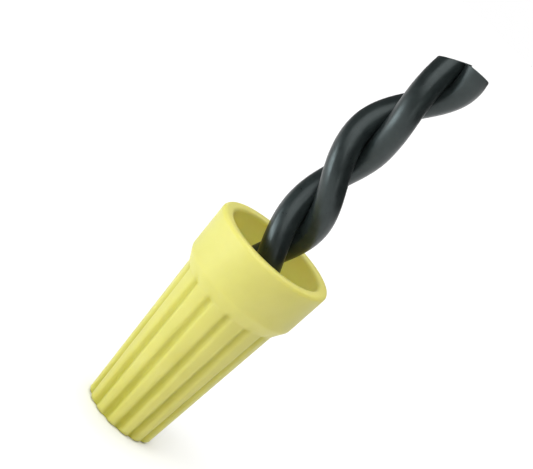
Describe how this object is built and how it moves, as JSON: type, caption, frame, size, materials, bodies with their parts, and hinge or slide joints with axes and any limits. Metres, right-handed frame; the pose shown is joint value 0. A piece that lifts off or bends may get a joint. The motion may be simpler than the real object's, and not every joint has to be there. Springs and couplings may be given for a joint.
{
  "type": "twist wire connector",
  "caption": "Twist-on wire connector: a fluted conical plastic cap with a flared skirt and a coiled square-wire spring inside, screwed onto a twisted pair of jacketed copper wires.",
  "frame": {"origin": "middle of the connector's flat closed end, which it stands on", "axes": "+Z along the connector's axis, from the closed end to the mouth and the wires; -Y is the front, the side in the picture; +X is to the right of it"},
  "size_m": [0.0136, 0.0136, 0.0505],
  "materials": {
    "shell_plastic": "satin injection-moulded yellow thermoplastic",
    "spring_steel": "drawn, zinc-plated square spring wire",
    "copper": "drawn bare copper",
    "insulation_pvc": "extruded black PVC",
    "jacket_nylon": "glossy extruded black nylon"
  },
  "bodies": {
    "connector": {"shell": "shell_plastic"},
    "spring": {"spring": "spring_steel"},
    "wires": {"conductor_a": "copper", "insulation_a": "insulation_pvc", "jacket_a": "jacket_nylon", "conductor_b": "copper", "insulation_b": "insulation_pvc", "jacket_b": "jacket_nylon"}
  },
  "joints": [
    {"name": "unscrew", "type": "hinge", "parent": "connector", "child": "spring", "pos_m": [0, 0, 0.0076], "axis": [0, 0, 1], "range_deg": [0, 5041]},
    {"name": "draw_out", "type": "slide", "parent": "spring", "child": "wires", "axis": [0, 0, 1], "range_m": [0, 0.021]}
  ],
  "couplings": [
    {"joint": "unscrew", "follows": "draw_out", "rad_per_m": 4188.8}
  ]
}
